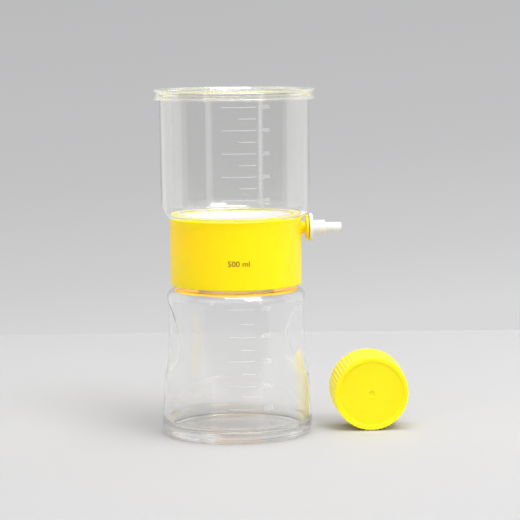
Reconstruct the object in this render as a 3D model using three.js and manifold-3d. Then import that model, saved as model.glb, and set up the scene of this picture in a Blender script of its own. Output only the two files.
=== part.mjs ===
// Vacuum filtration unit, 500 ml: a clear filter cup welded to a yellow threaded collar, which screws
// onto a clear receiver bottle. A hose connector on the collar's side port draws the air out of the
// bottle. The bottle's own screw cap lies beside it, to close the bottle once the filter is off.
//
// Millimetres, +Z up. The origin is on the bottle's axis, level with the ring that it stands on, and
// +X runs along the side port.
import * as THREE from "three";
import { mergeVertices } from "three/addons/utils/BufferGeometryUtils.js";
import Module from "manifold-3d";

const wasm = await Module();
wasm.setup();

// ---- Clearances and facets ----
const FIT = 0.3; // between two pieces that touch
const THREAD_PLAY = 0.5; // radial, between a thread and the wall it runs in
const FACETS = 40; // round a large turned piece
const SMALL_FACETS = 24; // round a small one
const ROW_GAP = 1; // least height between two rows of points on a wall
const SUNK = 0.6; // how far a ridge reaches into the wall that carries it

// ---- Receiver bottle ----
const BOTTLE_HEIGHT = 95.8; // to the outer edge of the shoulder
const BOTTLE_HEEL_R = 48.9;
const BOTTLE_FLARE = 3.7; // wider at the heel than at the shoulder
const BOTTLE_FLARE_POWER = 1.4; // the wall flares faster towards the heel
const BOTTLE_HEEL_HEIGHT = 8;
const BOTTLE_CORNER_R = 6.4;
const BOTTLE_WALL = 1.7;
const BOTTLE_FLOOR = 3.8;
const STAND_INSET = 5.7; // middle of the flat ring that it stands on, in from the heel
const STAND_WIDTH = 1.8;
const STAND_SLOPE = 2.1; // sideways, from that ring to the outer base panel
const BASE_RISE = 0.7; // outer base panel over the table
const PANEL_RISE = 1.2; // inner base panel over the table
const PANEL_R = 23;
const FLOOR_INSET = 9.4; // flat part of the inside floor, in from the heel
const INNER_HEEL_HEIGHT = 5;
const SHOULDER_RISE = 0.9; // from the shoulder's edge to the neck

// Two finger recesses, egg-shaped on the wall, deepest in the middle
const GRIP_DEPTH = 1.7;
const GRIP_HALF_ANGLE = THREE.MathUtils.degToRad(43.5);
const GRIP_DROP = 37.8; // its middle under the shoulder's edge
const GRIP_BELOW = 20;
const GRIP_ABOVE = 33;
const GRIP_TURN = THREE.MathUtils.degToRad(-9); // the recesses' axis from +X

// ---- Neck and its thread, shared by the bottle, the collar and the cap ----
const NECK_BORE_R = 18.9;
const NECK_WALL = 2;
const NECK_HEIGHT = 24.2; // over the shoulder
const NECK_FILLET = 2.4;
const NECK_EDGE = 0.4; // broken edges of its rim
const THREAD_PITCH = 4;
const THREAD_TURNS = 1.5;
const THREAD_DEPTH = 1.4;
const THREAD_ROOT_WIDTH = 2;
const THREAD_CREST_WIDTH = 1.1;
const THREAD_BELOW_TOP = 9.5; // middle of the thread under the top of the neck
const THREAD_STEP = THREE.MathUtils.degToRad(12);
const THREAD_RUNOUT = 3; // steps over which an end fades into the wall

// ---- Gasket ----
const GASKET_THICKNESS = 2;
const GASKET_OVERLAP = 0.4; // how far it reaches over each edge of the neck's rim

// ---- Collar ----
const COLLAR_R = 42.65;
const COLLAR_HEIGHT = 43.5;
const COLLAR_WALL = 2;
const COLLAR_OVER_SHOULDER = 1.2;
const COLLAR_EDGE = 0.5; // broken edges at its top and foot
const SOCKET_WALL = 2.4;
const SOCKET_ABOVE_FOOT = 1;
const DECK_THICKNESS = 1.8;
const SEAT_RIM = 4.35; // flat rim round the well that the support grid lies in
const SEAT_DEPTH = 2.8;
const SEAT_LEDGE = 2.1;
const DRAIN_STEP = 0.4; // from the ledge down to the drain cone
const DRAIN_FALL = 0.9; // of the cone, to the spout
const SPOUT_BORE_R = 5;
const SPOUT_WALL = 1.8;
const SPOUT_LENGTH = 9; // under the deck

// ---- Side port and hose connector ----
const PORT_DROP = 7.7; // port's axis under the collar's top
const PORT_R = 3.75;
const PORT_BORE_R = 1.5;
const PORT_LENGTH = 3.15; // from the collar to the flange
const FLANGE_R = 8.2;
const FLANGE_THICKNESS = 1.6;
const NIPPLE_R = 2.5;
const NIPPLE_LENGTH = 5.6;
const CONNECTOR_FLANGE_R = 9.3;
const CONNECTOR_FLANGE_THICKNESS = 2.3;
const BARREL_R = 4.75;
const BARREL_LENGTH = 8.1;
const TIP_R = 3.2;
const TIP_LENGTH = 10.8;
const TIP_BORE_R = 1.6;
const PLUG_LENGTH = 3.2;

// ---- Support grid and membrane ----
const GRID_THICKNESS = 1.5;
const GRID_HUB_R = 6;
const GRID_ROWS = 3;
const GRID_SLOTS = 8; // in the inner row; each row further out has half as many more
const GRID_RIB = 2;
const GRID_RIM = 2.5;
const MEMBRANE_MARGIN = 0.8; // radial, inside the well
const MEMBRANE_THICKNESS = 0.2;

// ---- Filter cup ----
const CUP_HEIGHT = 81.3; // from its foot to its rim
const CUP_OVERHANG = 0.35; // flat part of the foot, past the collar
const CUP_DRAFT = 0.3; // wider under the rim than over the foot's corner
const CUP_TOP_WALL = 1.2;
const CUP_FOOT_WALL = 2;
const CUP_CORNER_R = 5.3; // corner at the foot, sideways
const CUP_CORNER_HEIGHT = 9.3;
const CUP_FOOT_THICKNESS = 1.5;
const CUP_FOOT_FLAT = 3.6; // flat part of the foot inside, round its opening
const CUP_OPENING_MARGIN = 0.1; // radial, of the opening in the foot round the well
const RIM_REACH = 1; // of the rim's bead, past the wall
const RIM_HEIGHT = 1.6;
const RIM_EDGE = 0.5; // its broken edge

// ---- Lid ----
const LID_HEIGHT = 6.6;
const LID_REACH = 1.1; // of its top flange and of the lip at its foot, past the skirt
const LID_WALL = 1.1;
const LID_PLAY = 0.4; // radial, round the cup's rim
const LID_PANEL_DROP = 2.3; // centre panel under the flange
const LID_LIP = 0.9;

// ---- Bottle cap ----
const CAP_SIDE_WALL = 1.7; // at the face, outside the thread's root
const CAP_FLARE = 0.8; // wider at the mouth than at the face
const CAP_TOP = 2;
const CAP_RIBS = 56;
const CAP_RIB_DEPTH = 0.65;
const CAP_RIM_ROUND = 1.3; // rounding between the ribs and the face
const CAP_PANEL_INSET = 3.2; // recessed panel in the face, in from its edge
const CAP_PANEL_DEPTH = 0.5;
const CAP_HEM = 1; // plain band at the mouth
const LINER_THICKNESS = 1;
const CAP_X = 87.6;
const CAP_FACE_Y = -9.8;

// ---- Sizes that follow ----
const BOTTLE_TOP_R = BOTTLE_HEEL_R - BOTTLE_FLARE;
const STAND_R = BOTTLE_HEEL_R - STAND_INSET;
const FLOOR_R = BOTTLE_HEEL_R - FLOOR_INSET;
const GRIP_MIDDLE_Z = BOTTLE_HEIGHT - GRIP_DROP;
const SHOULDER_Z = BOTTLE_HEIGHT + SHOULDER_RISE;
const NECK_R = NECK_BORE_R + NECK_WALL;
const NECK_TOP_Z = SHOULDER_Z + NECK_HEIGHT;
const SOCKET_R = NECK_R + THREAD_DEPTH + THREAD_PLAY;
const SOCKET_CREST_R = NECK_R + THREAD_PLAY;
const COLLAR_Z = SHOULDER_Z + COLLAR_OVER_SHOULDER;
const COLLAR_TOP_Z = COLLAR_Z + COLLAR_HEIGHT;
const GASKET_Z = NECK_TOP_Z + FIT;
const GASKET_LEDGE_Z = GASKET_Z + GASKET_THICKNESS + FIT;
const SEAT_R = COLLAR_R - SEAT_RIM;
const FLANGE_X = COLLAR_R + PORT_LENGTH;
const CONNECTOR_X = FLANGE_X + FLANGE_THICKNESS + FIT;
const MEMBRANE_R = SEAT_R - MEMBRANE_MARGIN;
const MEMBRANE_Z = COLLAR_TOP_Z - SEAT_DEPTH + GRID_THICKNESS + 2 * FIT;
const CUP_Z = COLLAR_TOP_Z + FIT;
const CUP_OPENING_R = SEAT_R + CUP_OPENING_MARGIN;
const CUP_FOOT_R = COLLAR_R + CUP_OVERHANG + CUP_CORNER_R;
const CUP_TOP_R = CUP_FOOT_R + CUP_DRAFT;
const RIM_R = CUP_TOP_R + RIM_REACH;
const LID_SKIRT_R = RIM_R + LID_PLAY;
const LID_R = LID_SKIRT_R + LID_WALL + LID_REACH;
const LID_TOP_Z = CUP_Z + CUP_HEIGHT + FIT + LID_WALL;
const CAP_HEIGHT = NECK_HEIGHT + FIT + LINER_THICKNESS + CAP_TOP + CAP_PANEL_DEPTH;
const CAP_FACE_R = SOCKET_R + CAP_SIDE_WALL;
const CAP_MOUTH_R = CAP_FACE_R + CAP_FLARE;

const YELLOW = plastic(0xfbe410, 0.32);
const CLEAR = plastic(0xe9ecea, 0.06, 0.3);

function plastic(color, roughness, opacity = 1) {
  return new THREE.MeshStandardMaterial({
    color,
    roughness,
    metalness: 0,
    opacity,
    transparent: opacity < 1,
  });
}

// ---- Solids ----

// A closed geometry as a solid that can be joined and cut.
function solid(geometry) {
  const bare = geometry.clone();
  bare.deleteAttribute("normal");
  bare.deleteAttribute("uv");
  const merged = mergeVertices(bare, 1e-4);
  return new wasm.Manifold(
    new wasm.Mesh({
      numProp: 3,
      vertProperties: merged.attributes.position.array,
      triVerts: new Uint32Array(merged.index.array),
    }),
  );
}

// The geometry of a joined or cut solid.
function geometryOf(made) {
  const { vertProperties, triVerts } = made.getMesh();
  const geometry = new THREE.BufferGeometry();
  geometry.setAttribute("position", new THREE.BufferAttribute(vertProperties, 3));
  geometry.setIndex(new THREE.BufferAttribute(triVerts, 1));
  geometry.computeVertexNormals();
  return geometry;
}

// An outline of [radius, height] points, run up the outside and down the inside, turned about +Z.
function turned(outline, facets = FACETS) {
  const points = outline.map(([r, z]) => new THREE.Vector2(r, z));
  return new THREE.LatheGeometry(points, facets).rotateX(Math.PI / 2);
}

// The same for a ring, whose outline closes on itself away from the axis.
function ring(outline, facets = FACETS) {
  return turned([...outline, outline[0]], facets);
}

// Points of an elliptical arc in an outline, in degrees from outwards to up.
function arc([r, z], [reach, rise], from, to, steps) {
  return Array.from({ length: steps + 1 }, (_, i) => {
    const angle = THREE.MathUtils.degToRad(from + ((to - from) * i) / steps);
    return [r + reach * Math.cos(angle), z + rise * Math.sin(angle)];
  });
}

// A plain rod of the given radius from one height to another.
function rod(radius, from, to) {
  const outline = [
    [0, from],
    [radius, from],
    [radius, to],
    [0, to],
  ];
  return turned(outline, SMALL_FACETS);
}

function named(name, geometry, material) {
  const mesh = new THREE.Mesh(geometry, material);
  mesh.name = name;
  return mesh;
}

function group(children, [x, y, z] = [0, 0, 0]) {
  const made = new THREE.Group();
  made.add(...children);
  made.position.set(x, y, z);
  return made;
}

// A right-hand thread's ridge: a bar bent along a helix, its root sunk in the wall at wallR and its
// crest at crestR, outside the wall or inside it. Both ends fade into the wall.
function threadRidge(wallR, crestR, middleZ) {
  const steps = Math.round((THREAD_TURNS * 2 * Math.PI) / THREAD_STEP);
  const bar = new THREE.BoxGeometry(1, 1, 1, steps, 1, 1);
  const outwards = Math.sign(crestR - wallR);
  const place = bar.attributes.position;
  for (let i = 0; i < place.count; i++) {
    const step = (place.getX(i) + 0.5) * steps;
    const atCrest = place.getZ(i) * outwards > 0;
    const height = Math.min(1, Math.min(step, steps - step) / THREAD_RUNOUT);
    const crest = wallR + (crestR - wallR) * height;
    const radius = atCrest ? crest : wallR - outwards * SUNK;
    const width = atCrest ? THREAD_CREST_WIDTH : THREAD_ROOT_WIDTH;
    const angle = (step - steps / 2) * THREAD_STEP;
    const z = middleZ + (THREAD_PITCH * angle) / (2 * Math.PI) + place.getY(i) * width;
    place.setXYZ(i, radius * Math.cos(angle), radius * Math.sin(angle), z);
  }
  return bar;
}

// ---- Receiver bottle ----

// The outer wall's radius between the heel and the shoulder's corner.
function bottleRadius(z) {
  const foot = BOTTLE_HEEL_HEIGHT;
  const head = BOTTLE_HEIGHT - BOTTLE_CORNER_R;
  const share = (head - z) / (head - foot);
  return BOTTLE_TOP_R + BOTTLE_FLARE * share ** BOTTLE_FLARE_POWER;
}

// How deep a finger recess is at an angle and a height: half an ellipse across, so its edge is crisp.
function gripDepth(angle, z) {
  const height = z < GRIP_MIDDLE_Z ? GRIP_BELOW : GRIP_ABOVE;
  const turn = (angle - GRIP_TURN + 3 * Math.PI) % Math.PI;
  const across = Math.min(turn, Math.PI - turn) / GRIP_HALF_ANGLE;
  const up = (z - GRIP_MIDDLE_Z) / height;
  return GRIP_DEPTH * Math.sqrt(Math.max(0, 1 - across * across - up * up));
}

// Presses the finger recesses into both skins of the bottle's wall.
function pressGrips(geometry) {
  const place = geometry.attributes.position;
  for (let i = 0; i < place.count; i++) {
    const [x, y, z] = [place.getX(i), place.getY(i), place.getZ(i)];
    const radius = Math.hypot(x, y);
    if (radius < FLOOR_R) continue;
    const share = 1 - gripDepth(Math.atan2(y, x), z) / radius;
    place.setXYZ(i, x * share, y * share, z);
  }
  return geometry;
}

function bottleOutline() {
  const rows = 8;
  const head = BOTTLE_HEIGHT - BOTTLE_CORNER_R;
  const wall = Array.from({ length: rows }, (_, i) => {
    const z = BOTTLE_HEEL_HEIGHT + ((head - BOTTLE_HEEL_HEIGHT) * i) / (rows - 1);
    return [bottleRadius(z), z];
  });
  const standOuter = STAND_R + STAND_WIDTH / 2;
  const standInner = STAND_R - STAND_WIDTH / 2;
  const heel = [BOTTLE_HEEL_R - standOuter, BOTTLE_HEEL_HEIGHT];
  const corner = [BOTTLE_TOP_R - BOTTLE_CORNER_R, head];
  const cornerIn = BOTTLE_CORNER_R - BOTTLE_WALL;
  const fillet = [NECK_R + NECK_FILLET, SHOULDER_Z + NECK_FILLET];
  const floorZ = PANEL_RISE + BOTTLE_FLOOR;
  const innerHeelZ = floorZ + INNER_HEEL_HEIGHT;
  const innerHeelR = bottleRadius(innerHeelZ) - BOTTLE_WALL;
  const overHeel = wall.filter(([, z]) => z > innerHeelZ + ROW_GAP);
  const innerWall = overHeel.map(([r, z]) => [r - BOTTLE_WALL, z]);
  return [
    [0, PANEL_RISE],
    [PANEL_R - BASE_RISE, PANEL_RISE],
    [PANEL_R, BASE_RISE],
    [standInner - STAND_SLOPE, BASE_RISE],
    [standInner, 0],
    ...arc([standOuter, BOTTLE_HEEL_HEIGHT], heel, -90, 0, 5).slice(0, -1),
    ...wall.slice(0, -1),
    ...arc(corner, [BOTTLE_CORNER_R, BOTTLE_CORNER_R], 0, 90, 4),
    ...arc(fillet, [NECK_FILLET, NECK_FILLET], -90, -180, 2),
    [NECK_R, NECK_TOP_Z - NECK_EDGE],
    [NECK_R - NECK_EDGE, NECK_TOP_Z],
    [NECK_BORE_R + NECK_EDGE, NECK_TOP_Z],
    [NECK_BORE_R, NECK_TOP_Z - NECK_EDGE],
    [NECK_BORE_R, SHOULDER_Z - BOTTLE_WALL + NECK_FILLET],
    [NECK_BORE_R + NECK_FILLET, SHOULDER_Z - BOTTLE_WALL],
    ...arc(corner, [cornerIn, cornerIn], 90, 0, 3).slice(0, -1),
    ...innerWall.reverse(),
    ...arc([FLOOR_R, innerHeelZ], [innerHeelR - FLOOR_R, INNER_HEEL_HEIGHT], 0, -90, 4),
    [0, floorZ],
  ];
}

function receiverBottle() {
  const body = solid(pressGrips(turned(bottleOutline())));
  const thread = threadRidge(NECK_R, NECK_R + THREAD_DEPTH, NECK_TOP_Z - THREAD_BELOW_TOP);
  return named("receiver_bottle", geometryOf(body.add(solid(thread))), CLEAR);
}

// ---- Gasket, on the rim of the neck ----

function neckGasket() {
  const inner = NECK_BORE_R + GASKET_OVERLAP;
  const outer = SOCKET_R - FIT;
  const outline = [
    [inner, 0],
    [outer, 0],
    [outer, GASKET_THICKNESS],
    [inner, GASKET_THICKNESS],
  ];
  return named("neck_gasket", ring(outline), plastic(0xf2f2ee, 0.6));
}

// ---- Collar: skirt, deck with a drain, threaded socket and side port in one moulding ----

function collarOutline() {
  const top = COLLAR_HEIGHT;
  const seat = top - SEAT_DEPTH;
  const drainRim = seat - DRAIN_STEP;
  const drainFoot = drainRim - DRAIN_FALL;
  const deck = drainFoot - DECK_THICKNESS;
  const ledge = GASKET_LEDGE_Z - COLLAR_Z;
  const skirtIn = COLLAR_R - COLLAR_WALL;
  const spoutR = SPOUT_BORE_R + SPOUT_WALL;
  const chamberR = NECK_BORE_R + FIT;
  return [
    [skirtIn, 0],
    [COLLAR_R - COLLAR_EDGE, 0],
    [COLLAR_R, COLLAR_EDGE],
    [COLLAR_R, top - COLLAR_EDGE],
    [COLLAR_R - COLLAR_EDGE, top],
    [SEAT_R, top],
    [SEAT_R, seat],
    [SEAT_R - SEAT_LEDGE, seat],
    [SEAT_R - SEAT_LEDGE, drainRim],
    [SPOUT_BORE_R, drainFoot],
    [SPOUT_BORE_R, deck - SPOUT_LENGTH],
    [spoutR - COLLAR_EDGE, deck - SPOUT_LENGTH],
    [spoutR, deck],
    [chamberR, deck],
    [chamberR, ledge],
    [SOCKET_R, ledge],
    [SOCKET_R, SOCKET_ABOVE_FOOT],
    [SOCKET_R + SOCKET_WALL, SOCKET_ABOVE_FOOT],
    [SOCKET_R + SOCKET_WALL, deck],
    [skirtIn, deck],
  ];
}

// The side port along +Z: a stub out of the collar, its flange, and the nipple under the connector.
function portOutline() {
  const nippleEnd = FLANGE_X + FLANGE_THICKNESS + NIPPLE_LENGTH;
  const edge = FLANGE_THICKNESS / 4;
  return [
    [0, SOCKET_R],
    [PORT_R, SOCKET_R],
    [PORT_R, FLANGE_X],
    [FLANGE_R - edge, FLANGE_X],
    [FLANGE_R, FLANGE_X + edge],
    [FLANGE_R, FLANGE_X + FLANGE_THICKNESS - edge],
    [FLANGE_R - edge, FLANGE_X + FLANGE_THICKNESS],
    [NIPPLE_R, FLANGE_X + FLANGE_THICKNESS],
    [NIPPLE_R, nippleEnd - edge],
    [NIPPLE_R - edge, nippleEnd],
    [0, nippleEnd],
  ];
}

// Turns a piece made along +Z to lie along the port, whose height is over the collar's foot.
function alongPort(geometry) {
  return geometry.rotateY(Math.PI / 2).translate(0, 0, COLLAR_HEIGHT - PORT_DROP);
}

function filterCollar() {
  const threadZ = NECK_TOP_Z - THREAD_BELOW_TOP - THREAD_PITCH / 2 - COLLAR_Z;
  const thread = threadRidge(SOCKET_R, SOCKET_CREST_R, threadZ);
  const port = alongPort(turned(portOutline(), SMALL_FACETS));
  const boreFrom = NECK_BORE_R - FIT;
  const boreTo = FLANGE_X + FLANGE_THICKNESS + NIPPLE_LENGTH + PORT_BORE_R;
  const bore = alongPort(rod(PORT_BORE_R, boreFrom, boreTo));
  const made = solid(ring(collarOutline())).add(solid(thread)).add(solid(port)).subtract(solid(bore));
  return named("filter_collar", geometryOf(made), YELLOW);
}

// ---- Support grid and membrane ----

// A slot in the grid, as a path with a point in the middle of each arc.
function gridSlot(innerR, outerR, middle, halfAngle) {
  const at = (r, turn) => {
    const angle = middle + turn * halfAngle;
    return new THREE.Vector2(r * Math.cos(angle), r * Math.sin(angle));
  };
  const outer = [-1, 0, 1].map((turn) => at(outerR, turn));
  const inner = [1, 0, -1].map((turn) => at(innerR, turn));
  return new THREE.Path([...outer, ...inner]);
}

function supportGrid() {
  const radius = SEAT_R - FIT;
  const disc = new THREE.Shape();
  disc.absarc(0, 0, radius, 0, 2 * Math.PI);
  const rowWidth = (radius - GRID_RIM - GRID_HUB_R) / GRID_ROWS;
  for (let row = 0; row < GRID_ROWS; row++) {
    const innerR = GRID_HUB_R + row * rowWidth;
    const outerR = innerR + rowWidth - GRID_RIB;
    const slots = GRID_SLOTS + (row * GRID_SLOTS) / 2;
    const halfAngle = Math.PI / slots - GRID_RIB / 2 / innerR;
    for (let i = 0; i < slots; i++) {
      disc.holes.push(gridSlot(innerR, outerR, (2 * Math.PI * i) / slots, halfAngle));
    }
  }
  const depth = GRID_THICKNESS;
  const curveSegments = FACETS;
  const geometry = new THREE.ExtrudeGeometry(disc, { depth, curveSegments, bevelEnabled: false });
  return named("support_grid", geometry, plastic(0xf4f2ea, 0.5));
}

function filterMembrane() {
  const outline = [
    [0, 0],
    [MEMBRANE_R, 0],
    [MEMBRANE_R, MEMBRANE_THICKNESS],
    [0, MEMBRANE_THICKNESS],
  ];
  return named("filter_membrane", turned(outline), plastic(0xfbfbf8, 0.8));
}

// ---- Filter cup: a straight wall, a little thicker towards the foot, and a wide corner ----

function funnelCup() {
  const top = CUP_HEIGHT;
  const foot = [CUP_FOOT_R - CUP_CORNER_R, CUP_CORNER_HEIGHT];
  const wallIn = CUP_FOOT_R - CUP_FOOT_WALL;
  const flatIn = CUP_OPENING_R + CUP_FOOT_FLAT;
  const cornerIn = [wallIn - flatIn, CUP_CORNER_HEIGHT - CUP_FOOT_THICKNESS];
  const topIn = CUP_TOP_R - CUP_TOP_WALL;
  const outline = [
    [CUP_OPENING_R, 0],
    ...arc(foot, [CUP_CORNER_R, CUP_CORNER_HEIGHT], -90, 0, 5),
    [CUP_TOP_R, top - RIM_HEIGHT - RIM_REACH],
    [RIM_R, top - RIM_HEIGHT],
    [RIM_R, top - RIM_EDGE],
    [RIM_R - RIM_EDGE, top],
    [topIn, top],
    ...arc([flatIn, CUP_CORNER_HEIGHT], cornerIn, 0, -90, 5),
    [CUP_OPENING_R, CUP_FOOT_THICKNESS],
  ];
  return named("funnel_cup", ring(outline), CLEAR);
}

// ---- Lid: rests on the cup's rim, with its centre panel down inside the cup ----

function funnelLid() {
  const skirtOut = LID_SKIRT_R + LID_WALL;
  const plugOut = CUP_TOP_R - CUP_TOP_WALL - LID_PLAY;
  const panel = LID_HEIGHT - LID_PANEL_DROP;
  const outline = [
    [0, panel - LID_WALL],
    [plugOut - LID_WALL, panel - LID_WALL],
    [plugOut, panel],
    [plugOut, LID_HEIGHT - LID_WALL],
    [LID_SKIRT_R, LID_HEIGHT - LID_WALL],
    [LID_SKIRT_R, 0],
    [LID_R, 0],
    [LID_R, LID_LIP],
    [skirtOut, LID_LIP + LID_WALL / 2],
    [skirtOut, LID_HEIGHT - LID_LIP - LID_WALL / 2],
    [LID_R, LID_HEIGHT - LID_LIP],
    [LID_R, LID_HEIGHT],
    [plugOut + LID_WALL, LID_HEIGHT],
    [plugOut - LID_WALL, panel],
    [0, panel],
  ];
  return named("funnel_lid", turned(outline), CLEAR);
}

// ---- Hose connector, pushed onto the port's nipple, with a cotton plug against drawn-in dust ----

function hoseConnector() {
  const barrelEnd = CONNECTOR_FLANGE_THICKNESS + BARREL_LENGTH;
  const end = barrelEnd + TIP_LENGTH;
  const edge = CONNECTOR_FLANGE_THICKNESS / 4;
  const socketR = NIPPLE_R + FIT;
  const socketEnd = NIPPLE_LENGTH + PLUG_LENGTH + FIT;
  const outline = [
    [socketR, 0],
    [CONNECTOR_FLANGE_R - edge, 0],
    [CONNECTOR_FLANGE_R, edge],
    [CONNECTOR_FLANGE_R, CONNECTOR_FLANGE_THICKNESS - edge],
    [CONNECTOR_FLANGE_R - edge, CONNECTOR_FLANGE_THICKNESS],
    [BARREL_R, CONNECTOR_FLANGE_THICKNESS],
    [BARREL_R, barrelEnd - edge],
    [BARREL_R - edge, barrelEnd],
    [TIP_R, barrelEnd + edge],
    [TIP_R, end - edge],
    [TIP_R - edge, end],
    [TIP_BORE_R, end],
    [TIP_BORE_R, socketEnd],
    [socketR, socketEnd],
  ];
  return named("hose_connector", ring(outline, SMALL_FACETS), plastic(0xf7f7f3, 0.35));
}

function connectorPlug() {
  const geometry = rod(NIPPLE_R, 0, PLUG_LENGTH);
  return named("connector_plug", geometry, plastic(0xffffff, 0.9));
}

// The connector and its plug lie along the port, clear of its flange and of its nipple's end.
function connectorOnPort() {
  const connector = hoseConnector();
  const plug = connectorPlug();
  plug.position.z = NIPPLE_LENGTH;
  const made = group([connector, plug], [CONNECTOR_X, 0, COLLAR_HEIGHT - PORT_DROP]);
  made.rotation.y = Math.PI / 2;
  return made;
}

// ---- Bottle cap, made standing on its mouth and laid on its side ----

function capOutline() {
  const top = CAP_HEIGHT;
  const round = [CAP_FACE_R - CAP_RIM_ROUND, top - CAP_RIM_ROUND];
  const inside = top - CAP_TOP - CAP_PANEL_DEPTH;
  const panelR = CAP_FACE_R - CAP_PANEL_INSET;
  const side = (z) => CAP_MOUTH_R - (CAP_FLARE * z) / top;
  return [
    [SOCKET_R, 0],
    [CAP_MOUTH_R - CAP_RIB_DEPTH, 0],
    [side(CAP_RIB_DEPTH), CAP_RIB_DEPTH],
    [side(CAP_HEM), CAP_HEM],
    ...arc(round, [CAP_RIM_ROUND, CAP_RIM_ROUND], 0, 90, 2),
    [panelR, top],
    [panelR - CAP_PANEL_DEPTH, top - CAP_PANEL_DEPTH],
    [0, top - CAP_PANEL_DEPTH],
    [0, inside],
    [SOCKET_R, inside],
    [SOCKET_R, 0],
  ];
}

// Cuts the grip ribs: every other line of facets on the cap's side is pressed in.
function pressRibs(geometry) {
  const place = geometry.attributes.position;
  const leastR = CAP_FACE_R - CAP_RIB_DEPTH / 2;
  const leastZ = (CAP_HEM + CAP_RIB_DEPTH) / 2;
  for (let i = 0; i < place.count; i++) {
    const [x, y, z] = [place.getX(i), place.getY(i), place.getZ(i)];
    const radius = Math.hypot(x, y);
    const onSide = radius > leastR && z > leastZ;
    const line = Math.round((Math.atan2(x, -y) / Math.PI) * CAP_RIBS);
    if (!onSide || line % 2 === 0) continue;
    const share = 1 - CAP_RIB_DEPTH / radius;
    place.setXYZ(i, x * share, y * share, z);
  }
  return geometry;
}

function bottleCap() {
  const shell = solid(pressRibs(turned(capOutline(), 2 * CAP_RIBS)));
  const threadZ = CAP_HEIGHT - CAP_TOP - CAP_PANEL_DEPTH - THREAD_BELOW_TOP - LINER_THICKNESS;
  const thread = solid(threadRidge(SOCKET_R, SOCKET_CREST_R, threadZ));
  return named("bottle_cap", geometryOf(shell.add(thread)), YELLOW);
}

function capLiner() {
  const outline = [
    [0, 0],
    [SOCKET_R - FIT, 0],
    [SOCKET_R - FIT, LINER_THICKNESS],
    [0, LINER_THICKNESS],
  ];
  const liner = named("cap_liner", turned(outline), plastic(0xf6f5f0, 0.7));
  liner.position.z = CAP_HEIGHT - CAP_TOP - CAP_PANEL_DEPTH - FIT - LINER_THICKNESS;
  return liner;
}

// The cap lies on the line from its mouth to its face, so its axis leans by the side's slope.
function capOnItsSide() {
  const lean = Math.atan(CAP_FLARE / CAP_HEIGHT);
  const mouthY = CAP_FACE_Y + CAP_HEIGHT * Math.cos(lean);
  const made = group([bottleCap(), capLiner()], [CAP_X, mouthY, CAP_MOUTH_R * Math.cos(lean)]);
  made.rotation.x = Math.PI / 2 + lean;
  return made;
}

// ---- The unit ----

function filterHead() {
  const grid = supportGrid();
  grid.position.z = COLLAR_HEIGHT - SEAT_DEPTH + FIT;
  const membrane = filterMembrane();
  membrane.position.z = MEMBRANE_Z - COLLAR_Z;
  const cup = funnelCup();
  cup.position.z = CUP_Z - COLLAR_Z;
  const lid = funnelLid();
  lid.position.z = LID_TOP_Z - LID_HEIGHT - COLLAR_Z;
  return group([filterCollar(), grid, membrane, cup, lid, connectorOnPort()], [0, 0, COLLAR_Z]);
}

const gasket = neckGasket();
gasket.position.z = GASKET_Z;

export default group([receiverBottle(), gasket, filterHead(), capOnItsSide()]);
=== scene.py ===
# Vacuum filtration unit: a clear filter cup on a yellow threaded collar, screwed onto a clear receiver
# bottle, with a white hose connector on the collar's port and the bottle's own yellow cap beside it.
# Metres, +Z up. The bottle's axis is x = y = 0, it stands at z = 0, and +X runs along the port.
import math

import bpy
import numpy as np
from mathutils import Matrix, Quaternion, Vector


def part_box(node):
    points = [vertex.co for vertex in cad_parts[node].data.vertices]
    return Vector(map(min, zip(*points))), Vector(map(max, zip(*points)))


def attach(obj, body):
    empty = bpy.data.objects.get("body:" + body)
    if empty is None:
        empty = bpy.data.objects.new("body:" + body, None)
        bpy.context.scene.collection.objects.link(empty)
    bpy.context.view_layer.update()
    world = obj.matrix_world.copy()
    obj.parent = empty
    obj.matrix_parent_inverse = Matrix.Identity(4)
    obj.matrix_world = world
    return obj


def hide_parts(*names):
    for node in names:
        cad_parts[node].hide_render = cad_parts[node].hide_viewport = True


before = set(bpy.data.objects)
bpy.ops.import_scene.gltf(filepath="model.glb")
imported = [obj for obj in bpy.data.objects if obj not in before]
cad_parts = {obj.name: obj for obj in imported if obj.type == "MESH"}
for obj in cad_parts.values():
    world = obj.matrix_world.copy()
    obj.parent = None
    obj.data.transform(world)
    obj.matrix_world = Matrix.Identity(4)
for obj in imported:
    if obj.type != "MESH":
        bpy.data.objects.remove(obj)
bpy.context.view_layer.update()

# ---- Camera ----
# It stands 1.4 m away, a little above the top of the cup, and looks slightly down with a long lens. The
# port points to its right, a few degrees away from it.
MM = 0.001
PORT_TURN = math.radians(4)  # from the camera's right hand, away from it
CAMERA_DISTANCE = 1404 * MM
CAMERA_HEIGHT = 268 * MM
CAMERA_ASIDE = 15.7 * MM
CAMERA_PITCH = math.radians(6.3)
CAMERA_ROLL = math.radians(-0.55)
SENSOR_WIDTH, LENS_LENGTH = 36, 150.2  # mm
LIGHT_BOUNCES = 32  # light finds its way out of thick clear corners


def seen(right, away, up):
    """A point given by the camera's right hand and the direction away from it, in the part's frame: the two
    are turned about Z by the port's turn."""
    c, s = math.cos(PORT_TURN), math.sin(PORT_TURN)
    return Vector((right * c + away * s, away * c - right * s, up))


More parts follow.
